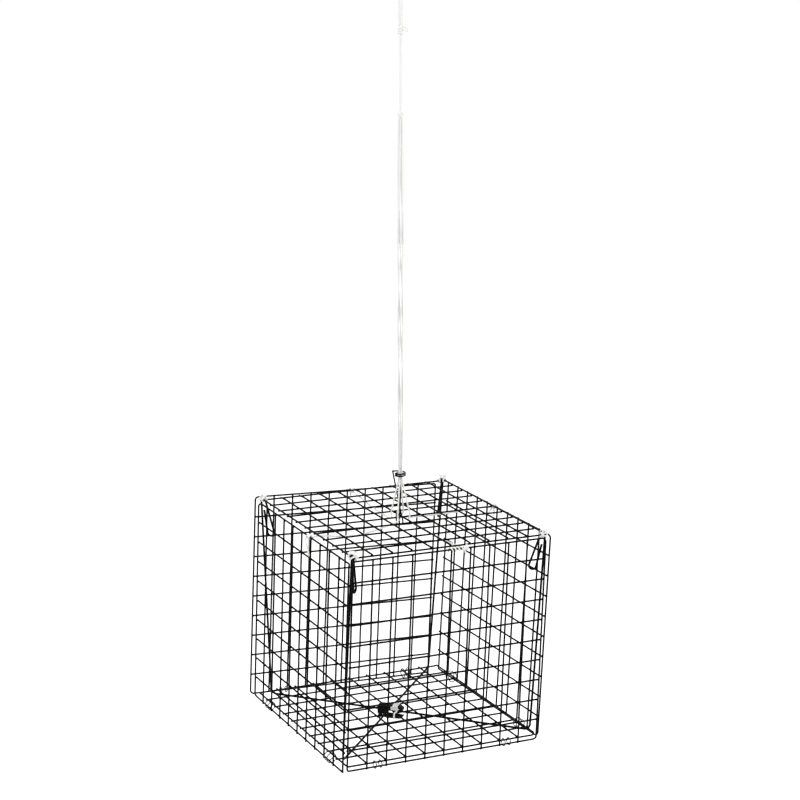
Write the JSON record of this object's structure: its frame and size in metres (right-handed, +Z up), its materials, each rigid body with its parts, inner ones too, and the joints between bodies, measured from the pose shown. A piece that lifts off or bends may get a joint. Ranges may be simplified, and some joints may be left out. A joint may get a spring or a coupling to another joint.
{
  "type": "crab trap",
  "caption": "Box crab trap of welded wire mesh whose four sides fold down on rings when its hauling line goes slack and close as it is pulled up.",
  "frame": {"origin": "inner side of the hand loop's top, where a hook or a hand holds the line", "axes": "+Z up, +X to the right along the front door's hinge, +Y from the front door to the back door"},
  "size_m": [0.3048, 0.3094, 1.0401],
  "materials": {
    "coated_mesh": "satin black coating",
    "coated_brace": "satin black coating",
    "ring_steel": "dark galvanised",
    "clip_steel": "plated",
    "clip_plastic": "matte black",
    "white_cord": "braided cord"
  },
  "bodies": {
    "line": {"hand_loop": "white_cord", "loop_knot": "white_cord", "main_line": "white_cord", "join_knot": "white_cord", "strand_front": "white_cord", "strand_back": "white_cord", "strand_left": "white_cord", "strand_right": "white_cord"},
    "cage": {"floor_panel": "coated_mesh", "top_panel": "coated_mesh", "brace_lower": "coated_brace", "brace_upper": "coated_brace", "line_guide": "coated_brace", "bait_clip_base": "clip_plastic", "bait_clip_pin": "clip_steel", "bait_clip_spring": "clip_steel", "corner_lashing_front_right": "white_cord", "corner_lashing_back_right": "white_cord", "corner_lashing_back_left": "white_cord", "corner_lashing_front_left": "white_cord", "hinge_ring_front_1": "ring_steel", "hinge_ring_front_2": "ring_steel", "hinge_ring_front_3": "ring_steel", "hinge_ring_front_4": "ring_steel", "hinge_ring_back_1": "ring_steel", "hinge_ring_back_2": "ring_steel", "hinge_ring_back_3": "ring_steel", "hinge_ring_back_4": "ring_steel", "hinge_ring_left_1": "ring_steel", "hinge_ring_left_2": "ring_steel", "hinge_ring_left_3": "ring_steel", "hinge_ring_left_4": "ring_steel", "hinge_ring_right_1": "ring_steel", "hinge_ring_right_2": "ring_steel", "hinge_ring_right_3": "ring_steel", "hinge_ring_right_4": "ring_steel", "string_run_front": "white_cord", "string_run_back": "white_cord", "string_run_left": "white_cord", "string_run_right": "white_cord", "string_end_front": "white_cord", "string_end_back": "white_cord", "string_end_left": "white_cord", "string_end_right": "white_cord"},
    "door_front": {"door_front": "coated_mesh", "string_knot_front": "white_cord"},
    "door_back": {"door_back": "coated_mesh", "string_knot_back": "white_cord"},
    "door_left": {"door_left": "coated_mesh", "string_knot_left": "white_cord"},
    "door_right": {"door_right": "coated_mesh", "string_knot_right": "white_cord"},
    "clip_jaw": {"bait_clip_jaw": "clip_plastic", "bait_tie": "white_cord"}
  },
  "joints": [
    {"name": "line_slack", "type": "slide", "parent": "line", "child": "cage", "axis": [-0.0285, 0.0147, 0.9995], "range_m": [0, 0.396], "deforming": ["strand_front", "strand_back", "strand_left", "strand_right"]},
    {"name": "door_front_hinge", "type": "hinge", "parent": "cage", "child": "door_front", "pos_m": [0.01867, -0.15735, -1.03124], "axis": [1, 0, 0], "range_deg": [0, 90], "deforming": ["string_end_front"]},
    {"name": "door_back_hinge", "type": "hinge", "parent": "cage", "child": "door_back", "pos_m": [0.00987, 0.12895, -1.03164], "axis": [-0.9995, 0, 0.0311], "range_deg": [0, 87.14], "deforming": ["string_end_back"]},
    {"name": "door_left_hinge", "type": "hinge", "parent": "cage", "child": "door_left", "pos_m": [-0.12513, -0.01815, -1.03095], "axis": [0, -0.9999, -0.0131], "range_deg": [0, 89.8], "deforming": ["string_end_left"]},
    {"name": "door_right_hinge", "type": "hinge", "parent": "cage", "child": "door_right", "pos_m": [0.16497, -0.00995, -1.03144], "axis": [0, 1, -0.0056], "range_deg": [0, 88.9], "deforming": ["string_end_right"]},
    {"name": "bait_clip_jaw_hinge", "type": "hinge", "parent": "cage", "child": "clip_jaw", "pos_m": [0.00955, -0.00596, -1.02714], "axis": [-0.6924, -0.7216, 0], "range_deg": [0, 12], "stiffness_Nm_per_rad": 0.05, "springref_deg": -28.65, "deforming": ["bait_clip_spring"]}
  ],
  "couplings": [
    {"joint": "door_front_hinge", "follows": "line_slack", "rad_per_m": 3.9666},
    {"joint": "door_back_hinge", "follows": "line_slack", "rad_per_m": 3.8406},
    {"joint": "door_left_hinge", "follows": "line_slack", "rad_per_m": 3.9578},
    {"joint": "door_right_hinge", "follows": "line_slack", "rad_per_m": 3.9181}
  ]
}
